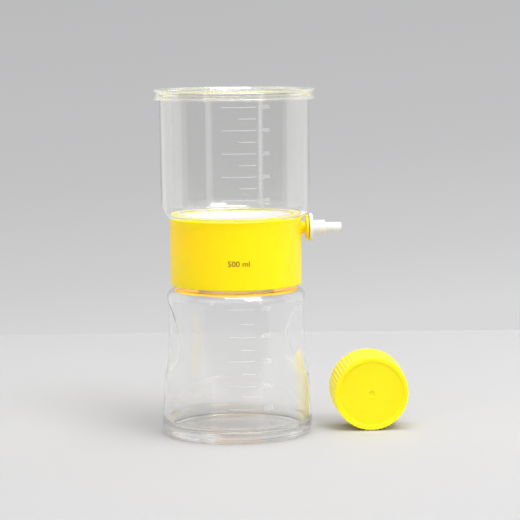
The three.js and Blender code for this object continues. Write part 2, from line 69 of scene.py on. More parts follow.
camera_data = bpy.data.cameras.new("camera")
camera_data.lens = LENS_LENGTH
camera_data.sensor_width = SENSOR_WIDTH
camera_data.clip_end = 20
camera = bpy.data.objects.new("camera", camera_data)
camera.location = seen(CAMERA_ASIDE, -CAMERA_DISTANCE, CAMERA_HEIGHT)
line_of_sight = seen(0, math.cos(CAMERA_PITCH), -math.sin(CAMERA_PITCH))
facing = line_of_sight.to_track_quat("-Z", "Y")
camera.rotation_euler = (facing @ Quaternion((0, 0, 1), CAMERA_ROLL)).to_euler()
bpy.context.scene.collection.objects.link(camera)
bpy.context.scene.camera = camera
bpy.context.scene.view_settings.view_transform = "Standard"
for kind in ("max_bounces", "transmission_bounces", "glossy_bounces"):
    setattr(bpy.context.scene.cycles, kind, LIGHT_BOUNCES)


# ---- Table and backdrop ----
# A matt pale table top, and a paper backdrop that hangs behind it, with painted shade that darkens it towards
# its top. The paper shows at its own even level, and the table takes the shadows.
class Shade:
    """A socket in a material's nodes. Sums, differences and products add Math nodes."""

    def __init__(self, tree, socket=None):
        self.tree = tree
        self.socket = socket

    def add(self, kind, settings=None, inputs=None, output=0):
        """Adds a node: its settings first, a ramp's stops among them, then its sockets' values or links."""
        made = self.tree.nodes.new("ShaderNode" + kind)
        for name, value in (settings or {}).items():
            if name != "stops":
                setattr(made, name, value)
                continue
            elements = made.color_ramp.elements
            while len(elements) < len(value):
                elements.new(1)
            for element, (place, colour) in zip(elements, value):
                element.position = place
                element.color = (*colour, 1)
        for name, value in (inputs or {}).items():
            if isinstance(value, Shade):
                self.tree.links.new(value.socket, made.inputs[name])
            else:
                made.inputs[name].default_value = value
        return Shade(self.tree, made.outputs[output] if made.outputs else None)

    def math(self, operation, first, second=0.0):
        return self.add("Math", {"operation": operation}, {0: first, 1: second})

    def __add__(self, other):
        return self.math("ADD", self, other)

    __radd__ = __add__

    def __mul__(self, other):
        return self.math("MULTIPLY", self, other)

    __rmul__ = __mul__

    def __sub__(self, other):
        return self.math("SUBTRACT", self, other)

    def __rsub__(self, other):
        return self.math("SUBTRACT", other, self)

    def between(self, low, high):
        """This value's place between two others, from 0 to 1."""
        return self.add("MapRange", {}, {"Value": self, "From Min": low, "From Max": high})

    def colour(self, low, high):
        """One colour at 0 and another at 1."""
        return self.add("Mix", {"data_type": "RGBA"}, {0: self, 6: low, 7: high}, 2)

    def place(self):
        """Object coordinates."""
        return self.add("TexCoord", output="Object")

    def axis(self, letter):
        """One of the object coordinates."""
        return self.add("SeparateXYZ", {}, {0: self.place()}, letter)

    def distance(self, first, second):
        """The distance from an axis: sqrt(first^2 + second^2)."""
        return self.math("SQRT", first * first + second * second)

    def noise(self, scale, detail=2.0, stretch=(1, 1, 1)):
        """Cloudy noise with a feature size of about 1/scale metres, stretched along an axis."""
        spot = self.add("Mapping", {}, {"Vector": self.place(), "Scale": stretch})
        return self.add("TexNoise", {}, {"Vector": spot, "Scale": scale, "Detail": detail})

    def bumps_from(self, depth):
        """A normal from this value as a height between 0 and 1, with the full height given in metres."""
        return self.add("Bump", {}, {"Height": self, "Distance": depth, "Strength": 1.0})


def new_material(name):
    """An empty material, and a handle on its nodes."""
    made = bpy.data.materials.new(name)
    made.use_nodes = True
    made.node_tree.nodes.clear()
    return made, Shade(made.node_tree)


def finish_material(nodes, shader):
    nodes.add("OutputMaterial", {}, {"Surface": shader})


def put(name, points, faces, made_of):
    """A mesh object at the origin from arrays of points in metres and faces."""
    mesh = bpy.data.meshes.new(name)
    mesh.from_pydata(np.asarray(points, float).tolist(), [], faces)
    mesh.materials.append(made_of)
    made = bpy.data.objects.new(name, mesh)
    bpy.context.scene.collection.objects.link(made)
    return made


TABLE_DEPTH = 0.455  # from the bottle's axis back to the paper
TABLE_FRONT = 0.55  # from the axis to its front edge
TABLE_HALF = 1.6
# Painted shade and light: the table's colour runs a touch darker from the back towards its front, evening out
# how the lamps light it.
TABLE_FAR_COLOUR, TABLE_NEAR_COLOUR = (0.512, 0.510, 0.512, 1), (0.494, 0.489, 0.493, 1)
PAPER_HALF = 1.1
PAPER_TOP = 2.2
# The paper's darkening towards its top and its left is painted shade, and its white sides are painted light.
PAPER_FADE = 0.36  # the height over which it darkens
PAPER_SLOPE = 0.10  # how far that fade leans to the left
PAPER_MIDDLE = 0.05
PAPER_SIDE_START, PAPER_SIDE_STOP = 0.23, 0.40  # where it turns white, either side of its middle
PAPER_SIDE_COLOUR = (0.85, 0.85, 0.83, 1)


def paper_material():
    """Grey paper with painted shade that darkens it towards its top and its left, and painted light that
    turns it white far out at its sides. It is seen at its own level, and its back isn't there."""
    made, nodes = new_material("backdrop paper")
    level = nodes.axis("Z") - nodes.axis("X") * PAPER_SLOPE
    stops = [
        (0.0, (0.690, 0.690, 0.695)),
        (0.15, (0.620, 0.620, 0.628)),
        (0.40, (0.545, 0.545, 0.553)),
        (1.0, (0.485, 0.485, 0.493)),
    ]
    middle = nodes.add("ValToRGB", {"stops": stops}, {0: level.between(0.0, PAPER_FADE)})
    aside = nodes.math("ABSOLUTE", nodes.axis("X") - PAPER_MIDDLE)
    colour = aside.between(PAPER_SIDE_START, PAPER_SIDE_STOP).colour(middle, PAPER_SIDE_COLOUR)
    ray = nodes.add("LightPath").socket.node.outputs
    camera_ray, glossy_ray, through_ray = (
        Shade(nodes.tree, ray[name])
        for name in ("Is Camera Ray", "Is Glossy Ray", "Is Transmission Ray")
    )
    shown = nodes.add("Emission", {}, {"Color": colour, "Strength": 1.0})
    lit = nodes.add("BsdfDiffuse", {}, {"Color": colour})
    share = (camera_ray + glossy_ray + through_ray).between(0.0, 1.0)
    front = nodes.add("MixShader", {}, {0: share, 1: lit, 2: shown})
    back = nodes.add("NewGeometry", output="Backfacing")
    nothing = nodes.add("BsdfTransparent")
    finish_material(nodes, nodes.add("MixShader", {}, {0: back, 1: front, 2: nothing}))
    return made


def table_material():
    """Pale matt laminate, a touch darker towards the front and the right: painted shade and light that even
    out how the lamps fall on it.
    """
    made, nodes = new_material("table top")
    level = (nodes.axis("Y") * -1.0 + nodes.axis("X") * 0.4).between(-0.40, 0.30)
    grain = nodes.noise(900.0, 3.0)
    finish = nodes.add(
        "BsdfPrincipled",
        {},
        {
            "Base Color": level.colour(TABLE_FAR_COLOUR, TABLE_NEAR_COLOUR),
            "Roughness": grain * 0.1 + 0.6,
            "Specular IOR Level": 0.05,
        },
    )
    finish_material(nodes, finish)
    return made


corners = [(-TABLE_HALF, -TABLE_FRONT), (TABLE_HALF, -TABLE_FRONT)]
corners += [(TABLE_HALF, TABLE_DEPTH), (-TABLE_HALF, TABLE_DEPTH)]
table = put("table", [seen(x, y, 0) for x, y in corners], [(0, 1, 2, 3)], table_material())
edges = [(-PAPER_HALF, 0), (PAPER_HALF, 0), (PAPER_HALF, PAPER_TOP), (-PAPER_HALF, PAPER_TOP)]
paper_points = [seen(x, TABLE_DEPTH, z) for x, z in edges]
paper = put("backdrop", paper_points, [(0, 1, 2, 3)], paper_material())

# ---- Lamps ----
# A wide softbox hangs nearly overhead and a square one high in front at the right. A low upright one stands
# just behind the unit at each side, and a narrow one in front at either hand. The room's walls are bright
# high up in front, and dim behind and low down.
world = bpy.data.worlds.new("studio")
bpy.context.scene.world = world
world.use_nodes = True
world.node_tree.nodes.clear()
room = Shade(world.node_tree)
ROOM_FLOOR, ROOM_BACK, ROOM_FRONT, ROOM_SEEN = 0.20, 0.30, 1.70, 0.62
LAMP_AIM = 0.12  # the height on the unit's axis that the lamps are turned to
direction = room.add("TexCoord", output="Generated")
ahead = room.add("SeparateXYZ", {}, {0: direction}, "Y") * -1.0
upwards = room.add("SeparateXYZ", {}, {0: direction}, "Z")
wall = ROOM_BACK + ahead.between(0.0, 0.5) * upwards.between(0.12, 0.45) * (ROOM_FRONT - ROOM_BACK)
above_floor = upwards.between(-0.25, -0.02)
room_light = wall * above_floor + ROOM_FLOOR * (1.0 - above_floor)
room_seen = room.add("LightPath", output="Is Camera Ray")
room_level = room_light * (1.0 - room_seen) + ROOM_SEEN * room_seen
room_shader = room.add("Background", {}, {"Strength": room_level})
room.add("OutputWorld", {}, {"Surface": room_shader})


def softbox(name, bearing, distance, height, size, radiance, aside=0.0):
    """A rectangular lamp of an even radiance, turned to the unit's axis: its power is radiance * pi * area.
    Its bearing is in degrees to the right of the camera's side, and it can be moved aside from there."""
    data = bpy.data.lights.new(name, "AREA")
    data.shape = "RECTANGLE"
    data.size, data.size_y = size
    data.energy = radiance * math.pi * size[0] * size[1]
    made = bpy.data.objects.new(name, data)
    angle = math.radians(bearing)
    made.location = seen(distance * math.sin(angle) + aside, -distance * math.cos(angle), height)
    aim = seen(aside, 0, LAMP_AIM) - made.location
    made.rotation_euler = aim.to_track_quat("-Z", "Y").to_euler()
    bpy.context.scene.collection.objects.link(made)


softbox("top softbox", 0, 0.14, 1.30, (0.80, 0.50), 7.5, 0.15)
softbox("key softbox", 37, 1.1, 1.35, (0.7, 0.7), 6.7)
softbox("left softbox", -100, 0.95, 0.35, (0.48, 0.9), 0.6)
softbox("right softbox", 100, 0.95, 0.35, (0.48, 0.9), 0.7)
softbox("left strip", -41, 1.5, 0.45, (0.16, 1.0), 0.9)
softbox("right strip", 41, 1.5, 0.45, (0.16, 1.0), 1.0)

# ---- Receiver bottle ----
# Clear moulded polystyrene: a round body that flares to its heel, a recessed base with rings, a short
# threaded neck, and two shallow finger recesses pressed into its sides.
TURNS = 288  # steps round a large turned piece; sizes from here on are in mm


def rounded(corners, steps=6):
    """An outline through corners of (radius, height, rounding). Each corner's rounding starts and ends that
    far along its two sides, A and B, as the curve (1-u)^2 A + 2u(1-u) corner + u^2 B."""
    rows = np.array([(*corner, 0)[:3] for corner in corners], float)
    place = rows[:, :2]
    back, ahead = place[:-2] - place[1:-1], place[2:] - place[1:-1]
    lengths = [np.linalg.norm(side, axis=1, keepdims=True) for side in (back, ahead)]
    reach = np.minimum(rows[1:-1, 2:3], 0.49 * np.minimum(*lengths))
    start = place[1:-1] + back / lengths[0] * reach
    end = place[1:-1] + ahead / lengths[1] * reach
    u = np.linspace(0, 1, steps + 1)[None, :, None]
    curves = (1 - u) ** 2 * start[:, None] + 2 * u * (1 - u) * place[1:-1, None] + u**2 * end[:, None]
    return np.vstack([place[:1], curves.reshape(-1, 2), place[-1:]])


def closed(corners, steps=6):
    """The same for an outline that closes on itself."""
    first = (np.array(corners[0][:2], float) + np.array(corners[-1][:2], float)) / 2
    loop = [(*first, 0), *corners, (*first, 0)]
    return rounded(loop, steps)[:-1]


def elliptic(centre, reach, rise, start, stop, steps):
    """Points of an elliptical arc, in degrees from outwards to up: centre + (reach cos t, rise sin t)."""
    t = np.radians(np.linspace(start, stop, steps))
    return np.column_stack([centre[0] + reach * np.cos(t), centre[1] + rise * np.sin(t)])


def turned(outline, foot=0.0, turns=TURNS, pressed=None):
    """A grid of points in mm, outline row by angle: (r cos a, r sin a, z), where pressed, if given, moves the
    radius as a function of the angle and the height."""
    angle = np.linspace(0, 2 * np.pi, turns, endpoint=False)[None, :]
    radius = np.repeat(outline[:, :1], turns, axis=1)
    height = np.repeat(outline[:, 1:2], turns, axis=1)
    if pressed is not None:
        radius = pressed(radius, angle, height)
    return np.stack([radius * np.cos(angle), radius * np.sin(angle), height + foot], axis=-1)


def skin(name, grids, made_of, ring=False):
    """One mesh of closed smooth surfaces, each from a grid of points in mm whose columns run round. A
    ring's rows close on themselves too; otherwise each end row is a single point. A normal is the cross
    product of the grid's central differences along its two directions."""
    points, faces, normals, start = [], [], [], 0
    for grid in grids:
        rows, columns = grid.shape[:2]
        across = np.roll(grid, -1, 1) - np.roll(grid, 1, 1)
        along = np.roll(grid, -1, 0) - np.roll(grid, 1, 0)
        normal = np.cross(across, along).reshape(-1, 3)
        index = np.arange(rows * columns).reshape(rows, columns)
        if not ring:
            index[0], index[-1] = index[0, 0], index[-1, 0]
        lower = index if ring else index[:-1]
        upper = np.roll(index, -1, 0) if ring else index[1:]
        quads = np.stack([lower, np.roll(lower, -1, 1), np.roll(upper, -1, 1), upper], -1).reshape(-1, 4)
        flat = grid.reshape(-1, 3)
        a, b, c, d = (flat[quads[:, i]] for i in range(4))
        volume = np.sum(np.cross(a, b) * c) + np.sum(np.cross(a, c) * d)
        if volume < 0:
            quads, normal = quads[:, ::-1], -normal
        used, places = np.unique(quads, return_inverse=True)
        quads = places.reshape(-1, 4) + start
        lengths = np.linalg.norm(normal[used], axis=1, keepdims=True)
        points.append(flat[used])
        normals.append(np.where(lengths > 1e-9, normal[used] / np.maximum(lengths, 1e-9), 0))
        faces += [list(dict.fromkeys(face)) for face in quads.tolist()]
        start += len(used)
    made = put(name, np.vstack(points) * MM, faces, made_of)
    made.data.polygons.foreach_set("use_smooth", np.ones(len(faces), bool))
    made.data.normals_split_custom_set_from_vertices(np.vstack(normals).tolist())
    return made


DARK = (0, 0, 0, 1)


def clear_material(name, tint, painted_edge_glow=DARK, bends=None):
    """Clear moulded polystyrene: glass of its refraction, with a faint waviness and a fine grain from the
    mould. Light from the lamps comes straight through it, weakened where it meets a face edge-on, and where
    the piece's own function says that it is thick and bends the light away. A painted glow, an emission,
    brightens the plastic where it is seen edge-on."""
    made, nodes = new_material(name)
    waves = nodes.noise(60.0, 2.0, (1, 1, 0.2))
    fine = nodes.noise(900.0, 3.0)
    colour = fine.colour(tint, tuple(min(1.0, c * 1.02) for c in tint[:3]) + (1,))
    skim = nodes.add("LayerWeight", {}, {"Blend": 0.3}, "Facing")
    glass = nodes.add(
        "BsdfPrincipled",
        {},
        {
            "Base Color": colour,
            "Roughness": fine * 0.02 + 0.035,
            "IOR": 1.59,
            "Transmission Weight": 1.0,
            # painted glow where the plastic is seen edge-on
            "Emission Color": skim.colour(DARK, painted_edge_glow),
            "Emission Strength": 1.0,
            "Normal": (waves + fine * 0.05).bumps_from(0.00003),
        },
    )
    face_on = nodes.add("BsdfTransparent", {}, {"Color": (0.96, 0.96, 0.95, 1)})
    edge_on = nodes.add("BsdfTransparent", {}, {"Color": (0.60, 0.60, 0.59, 1)})
    slant = nodes.add("LayerWeight", {}, {"Blend": 0.15}, "Facing")
    clear = nodes.add("MixShader", {}, {0: slant, 1: face_on, 2: edge_on})
    if bends:
        bent_away = nodes.add("BsdfTransparent", {}, {"Color": (0.1, 0.1, 0.1, 1)})
        clear = nodes.add("MixShader", {}, {0: bends(nodes), 1: clear, 2: bent_away})
    lamps = nodes.add("LightPath", output="Is Shadow Ray")
    finish_material(nodes, nodes.add("MixShader", {}, {0: lamps, 1: glass, 2: clear}))
    return made


BOTTLE_HEEL_R = 48.9
BOTTLE_FLARE = 3.7  # how much wider the heel is than the shoulder
BOTTLE_FLARE_POWER = 1.4
HEEL_HEIGHT = 8.0
BOTTLE_HEIGHT = 95.8
CORNER_R = 6.4
WALL = 1.7
NECK_R = 20.9
NECK_BORE_R = 18.9
SHOULDER_Z = 96.7
NECK_TOP_Z = 120.9
NECK_BEND, NECK_EDGE = 2.6, 0.5
FLOOR_R = 35.0
FLOOR_Z = 5.0
INNER_HEEL = 6.5
PANEL_R, PANEL_RISE = 22.4, 1.2  # the middle of the base
RECESS_R, RECESS_RISE = 40.2, 0.7  # the shallower recess round it
STAND_IN_R, STAND_OUT_R = 42.3, 44.1  # the flat ring that stands on the table
GRIP_DEPTH = 1.7
GRIP_HALF = math.radians(43.5)  # half a recess, round the wall
GRIP_TURN = math.radians(-9)  # its middle, from +X and from -X
GRIP_Z = 58.0
GRIP_BELOW, GRIP_ABOVE = 20.0, 33.0  # how far it reaches down and up from there
GRIP_SOFTNESS = 0.05
WALL_ROWS = 78
BOTTLE_TURNS = 320
BOTTLE_TINT = (0.985, 0.99, 0.98, 1)
HEEL_BEND_START, HEEL_BEND_FULL = 43.0, 47.0  # from the axis
HEEL_BEND_LOW, HEEL_BEND_HIGH = 4.0, 12.0
HEEL_BEND_SHARE = 0.42


def bottle_radius(z):
    """The outer wall: top radius + flare * ((top - z) / (top - heel)) ** power."""
    top = BOTTLE_HEIGHT - CORNER_R
    share = np.clip((top - z) / (top - HEEL_HEIGHT), 0, None)
    return BOTTLE_HEEL_R - BOTTLE_FLARE + BOTTLE_FLARE * share**BOTTLE_FLARE_POWER


def press_grips(radius, angle, height):
    """Takes the finger recesses off the wall's radius: depth * sqrt(1 - across^2 - up^2), softened where
    it meets the wall."""
    across = ((angle - GRIP_TURN + np.pi / 2) % np.pi - np.pi / 2) / GRIP_HALF
    up = (height - GRIP_Z) / np.where(height < GRIP_Z, GRIP_BELOW, GRIP_ABOVE)
    inside = np.clip(1 - across**2 - up**2, 0, None)
    soft = np.sqrt(inside + GRIP_SOFTNESS) - math.sqrt(GRIP_SOFTNESS)
    return radius - np.where(radius > FLOOR_R, GRIP_DEPTH * soft, 0)


def bottle_outline():
    """From the middle of the base up the outside, round the neck's rim and down the inside, with elliptical
    arcs at the heel, at the shoulder and round the floor."""
    top = BOTTLE_HEIGHT - CORNER_R
    corner = (BOTTLE_HEEL_R - BOTTLE_FLARE - CORNER_R, top)
    base = rounded(
        [
            (0, PANEL_RISE),
            (PANEL_R, PANEL_RISE, 0.5),
            (PANEL_R + 0.7, RECESS_RISE, 0.5),
            (RECESS_R, RECESS_RISE, 1.0),
            (STAND_IN_R, 0, 0.6),
            (STAND_OUT_R, 0),
        ],
        4,
    )
    heel = elliptic((STAND_OUT_R, HEEL_HEIGHT), BOTTLE_HEEL_R - STAND_OUT_R, HEEL_HEIGHT, -88, 0, 16)
    z = np.linspace(HEEL_HEIGHT, top, WALL_ROWS)[1:-1]
    outside = np.column_stack([bottle_radius(z), z])
    shoulder = elliptic(corner, CORNER_R, CORNER_R, 0, 88, 12)
    neck = rounded(
        [
            (corner[0], BOTTLE_HEIGHT),
            (NECK_R, SHOULDER_Z, NECK_BEND),
            (NECK_R, NECK_TOP_Z, NECK_EDGE),
            (NECK_BORE_R, NECK_TOP_Z, NECK_EDGE),
            (NECK_BORE_R, SHOULDER_Z - WALL, NECK_BEND),
            (corner[0], BOTTLE_HEIGHT - WALL),
        ]
    )
    under = elliptic(corner, CORNER_R - WALL, CORNER_R - WALL, 88, 0, 10)
    low = FLOOR_Z + INNER_HEEL
    z = np.linspace(top, low, WALL_ROWS - 4)[1:-1]
    inside = np.column_stack([bottle_radius(z) - WALL, z])
    floor = elliptic((FLOOR_R, low), bottle_radius(low) - WALL - FLOOR_R, INNER_HEEL, 0, -90, 16)
    return np.vstack([base, heel, outside, shoulder, neck, under, inside, floor, [(0, FLOOR_Z)]])


THREAD_MIDDLE = 111.4
THREAD_PITCH = 4.0
THREAD_TURNS = 1.5
THREAD_DEPTH = 1.4
THREAD_RUN_OUT = 0.1  # turns at either end over which it rises
THREAD_STEPS = 200


def thread_ridge(wall, crest, middle):
    """A right-hand ridge on a wall: z = middle + pitch * turn, with a section of rounded corners whose
    crest sinks into the wall at both ends."""
    t = np.linspace(-THREAD_TURNS / 2, THREAD_TURNS / 2, THREAD_STEPS)[:, None]
    fade = np.clip(np.minimum(t - t[0], t[-1] - t) / THREAD_RUN_OUT, 0, 1)
    section = closed([(-0.6, -1.0, 0.2), (-0.6, 1.0, 0.2), (1, 0.55, 0.35), (1, -0.55, 0.35)], 3)
    out, up = section[:, 0][None, :], section[:, 1][None, :]
    height = (crest - wall) * np.where(out > 0, out * fade, out * 0.5)
    angle = 2 * np.pi * t
    size = np.sign(fade) * np.ones_like(up)
    radius = wall + height * size
    z = middle + THREAD_PITCH * t + up * size
    return np.stack([radius * np.cos(angle), radius * np.sin(angle), z], -1)


def bent_by_heel(nodes):
    """The thick heel bends part of the light away, low down at the outside; the floor bends none."""
    from_axis = nodes.distance(nodes.axis("X"), nodes.axis("Y"))
    outside = from_axis.between(HEEL_BEND_START * MM, HEEL_BEND_FULL * MM)
    above = nodes.axis("Z").between(HEEL_BEND_LOW * MM, HEEL_BEND_HIGH * MM)
    return outside * (1.0 - above) * HEEL_BEND_SHARE


bottle_plastic = clear_material("bottle polystyrene", BOTTLE_TINT, bends=bent_by_heel)
bottle = skin("bottle_body", [turned(bottle_outline(), 0, BOTTLE_TURNS, press_grips)], bottle_plastic)
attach(bottle, "bottle")
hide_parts("receiver_bottle")
neck_thread = skin(
    "bottle_thread", [thread_ridge(NECK_R, NECK_R + THREAD_DEPTH, THREAD_MIDDLE)], bottle_plastic
)
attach(neck_thread, "bottle")

# ---- Graduations of the bottle ----
# Fine ribs and numbers raised on the bottle's front in the same moulding, every 50 ml, with a longer rib
# and a number at every 100 ml. Their broken edges look pale.
MARK_HEIGHT = 0.16  # over the wall
MARK_WIDTH = 0.42
BOTTLE_LONG = {500: 86.3, 400: 68.8, 300: 53.3, 200: 37.4, 100: 23.1}  # millilitres: height
BOTTLE_SHORT = (77.0, 60.5, 45.2, 31.0)  # the heights between them
BOTTLE_LONG_START, BOTTLE_SHORT_START, BOTTLE_MARK_END = -5.6, 4.1, 15.3  # degrees
BOTTLE_NUMBER_START, BOTTLE_NUMBER_SIZE = 20.5, 4.6


def bearing(degrees):
    """The angle in the part's frame of a place this far right of the camera's side."""
    return math.radians(degrees - 90) - PORT_TURN


def mark_bar(wall, z, start, stop):
    """A rib round a wall: a flat oval section, r = wall + height * (0.75 + cos(t) / 2) and z + width / 2 *
    sin(t), carried along an arc and drawn to a point at both ends."""
    angle = np.linspace(bearing(start), bearing(stop), 24)
    angle = np.concatenate([angle[:1], angle, angle[-1:]])[:, None]
    t = np.linspace(0, 2 * np.pi, 12, endpoint=False)[None, :]
    size = np.ones_like(angle)
    size[[0, -1]] = 0
    radius = wall(z) + MARK_HEIGHT * (0.25 + size * (0.5 + 0.5 * np.cos(t)))
    height = z + size * MARK_WIDTH / 2 * np.sin(t)
    return np.stack([radius * np.cos(angle), radius * np.sin(angle), height], -1)


def mark_number(words, wall, z, place, size):
    """A number as a mesh wrapped on a wall: x runs along the arc, y up, and its thickness outwards."""
    text = bpy.data.curves.new("number", "FONT")
    text.body = words
    text.size = size
    text.extrude = MARK_HEIGHT / 2
    text.align_x = "LEFT"
    text.align_y = "CENTER"
    text.resolution_u = 4
    holder = bpy.data.objects.new("number", text)
    mesh = bpy.data.meshes.new_from_object(holder)
    points = np.empty(len(mesh.vertices) * 3)
    mesh.vertices.foreach_get("co", points)
    x, y, out = points.reshape(-1, 3).T
    faces = [list(face.vertices) for face in mesh.polygons]
    bpy.data.objects.remove(holder)
    radius = wall(z + y) + out + MARK_HEIGHT * 0.8
    angle = bearing(place) + x / wall(z)
    return np.column_stack([radius * np.cos(angle), radius * np.sin(angle), z + y]), faces


def marks(name, bars, numbers, made_of, body):
    """The ribs and numbers of one scale, as two pieces that ride on the same body."""
    ribs = skin(name + "_ribs", bars, made_of)
    points = np.vstack([number[0] for number in numbers])
    starts = np.cumsum([0] + [len(number[0]) for number in numbers])
    faces = [[i + s for i in face] for (_, own), s in zip(numbers, starts) for face in own]
    digits = put(name + "_numbers", points * MM, faces, made_of)
    for piece in (ribs, digits):
        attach(piece, body)


def mark_material():
    """Pale frosted plastic, about two thirds see-through."""
    made, nodes = new_material("moulded marks")
    speckle = nodes.noise(4000.0, 2.0)
    finish = nodes.add(
        "BsdfPrincipled",
        {},
        {
            "Base Color": speckle.colour((0.84, 0.85, 0.85, 1), (0.95, 0.96, 0.96, 1)),
            "Roughness": speckle * 0.2 + 0.25,
            "Alpha": speckle * 0.1 + 0.28,
        },
    )
    finish_material(nodes, finish)
    return made


mark_plastic = mark_material()
bottle_bars = [
    mark_bar(bottle_radius, z, start, BOTTLE_MARK_END)
    for start, levels in ((BOTTLE_LONG_START, BOTTLE_LONG.values()), (BOTTLE_SHORT_START, BOTTLE_SHORT))
    for z in levels
]
bottle_numbers = [
    mark_number(str(ml), bottle_radius, z, BOTTLE_NUMBER_START, BOTTLE_NUMBER_SIZE)
    for ml, z in BOTTLE_LONG.items()
]
marks("bottle_scale", bottle_bars, bottle_numbers, mark_plastic, "bottle")

# ---- Neck gasket ----
# A flat ring of soft white elastomer between the neck's rim and the ledge in the collar. It lifts with
# the collar as that is unscrewed.
GASKET_INNER_R, GASKET_OUTER_R, GASKET_THICKNESS = 19.3, 22.5, 2.0
GASKET_EDGE = 0.4


def gasket_material():
    """Soft matt elastomer with a fine grain."""
    made, nodes = new_material("gasket elastomer")
    grain = nodes.noise(2500.0, 3.0)
    finish = nodes.add(
        "BsdfPrincipled",
        {},
        {
            "Base Color": grain.colour((0.80, 0.80, 0.77, 1), (0.88, 0.88, 0.85, 1)),
            "Roughness": grain * 0.2 + 0.5,
            "Normal": grain.bumps_from(0.00002),
        },
    )
    finish_material(nodes, finish)
    return made


def foot_of(node):
    """The height of a node's lowest point, in mm."""
    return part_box(node)[0].z / MM


soft_seal = gasket_material()
gasket_outline = closed(
    [
        (GASKET_INNER_R, 0, GASKET_EDGE),
        (GASKET_OUTER_R, 0, GASKET_EDGE),
        (GASKET_OUTER_R, GASKET_THICKNESS, GASKET_EDGE),
        (GASKET_INNER_R, GASKET_THICKNESS, GASKET_EDGE),
    ]
)
gasket = skin("neck_seal", [turned(gasket_outline, foot_of("neck_gasket"))], soft_seal, ring=True)
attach(gasket, "seal")
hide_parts("neck_gasket")

# ---- Filter collar ----
# One yellow moulding: a skirt, a deck with a drain cone and a spout, a threaded socket for the neck, and
# the side port with its flange. The cup is welded on its top, where a fine seam shows.
COLLAR_R = 42.65
COLLAR_HEIGHT = 43.5
COLLAR_TURNS = 256
SKIRT_BORE_R = 40.65
SEAT_R, SEAT_DEPTH = 38.3, 2.8  # the well that the membrane lies in
GRID_SEAT_R, GRID_SEAT_DEPTH = 36.2, 3.2
DRAIN_R, DRAIN_TOP_Z = 5.0, 39.4  # where the cone's slope ends at the spout's bore
SPOUT_FOOT_R, SPOUT_ROOT_R, SPOUT_FOOT_Z = 6.3, 6.8, 28.6
DECK_UNDERSIDE_Z = 37.6
LEDGE_BORE_R, LEDGE_Z = 19.2, 25.6  # the neck's gasket lies under the ledge
SOCKET_R, SOCKET_OUTER_R, SOCKET_FOOT_Z = 22.8, 25.2, 1.0
THREAD_PLAY = 0.5  # between a socket's thread and the neck's wall
COLLAR_DEEP, COLLAR_LIGHT = (0.98, 0.77, 0.001, 1), (1.0, 0.87, 0.002, 1)
# The skirt's painted glow: an emission, orange inside the skirt and a trace of red on its outside, that
# stands in for light soaking through the yellow wall.
PAINTED_GLOW_WALL, PAINTED_GLOW_SKIRT = (0.06, 0, 0, 1), (0.50, 0.27, 0.01, 1)
PAINTED_GLOW_RIM = 0.7  # the orange is full up to here over the foot,
PAINTED_GLOW_START, PAINTED_GLOW_FULL = 2.8, 7.8  # and comes back between these


def yellow_material(name, deep, light, painted_glow):
    """Satin yellow moulded plastic: slight clouding of its colour, a fine grain and a soft gloss. Its painted
    glow, an emission that stands in for light soaking through its walls, is worked out by the piece's own
    function."""
    made, nodes = new_material(name)
    cloud = nodes.noise(35.0, 3.0)
    grain = nodes.noise(3000.0, 3.0)
    finish = nodes.add(
        "BsdfPrincipled",
        {},
        {
            "Base Color": cloud.colour(deep, light),
            "Roughness": grain * 0.12 + 0.30,
            "Specular IOR Level": 0.3,
            "Subsurface Weight": 0.7,
            "Subsurface Radius": (1.0, 0.6, 0.1),
            "Subsurface Scale": 0.004,
            # painted glow: an emission, not lit by any lamp
            "Emission Color": painted_glow(nodes),
            "Emission Strength": 1.0,
            "Normal": (grain * 0.5 + cloud * 0.5).bumps_from(0.00003),
        },
    )
    finish_material(nodes, finish)
    made.cycles.emission_sampling = "NONE"
    return made


def light_in_skirt(nodes):
    """A painted glow, an emission that stands in for light soaking through the thin wall: the skirt's inside
    glows orange within the middle of its wall and below the deck, at the foot's rim and again higher up.
    Everywhere else there is a painted trace of red glow."""
    from_axis = nodes.distance(nodes.axis("X"), nodes.axis("Y"))
    z = nodes.axis("Z")
    inside = nodes.math("LESS_THAN", from_axis, (COLLAR_R - 1) * MM)
    below = nodes.math("LESS_THAN", z, (collar_foot + DECK_UNDERSIDE_Z + 0.2) * MM)
    rim = nodes.math("LESS_THAN", z, (collar_foot + PAINTED_GLOW_RIM) * MM)
    higher = z.between((collar_foot + PAINTED_GLOW_START) * MM, (collar_foot + PAINTED_GLOW_FULL) * MM)
    return (inside * below * nodes.math("MAXIMUM", rim, higher)).colour(PAINTED_GLOW_WALL, PAINTED_GLOW_SKIRT)


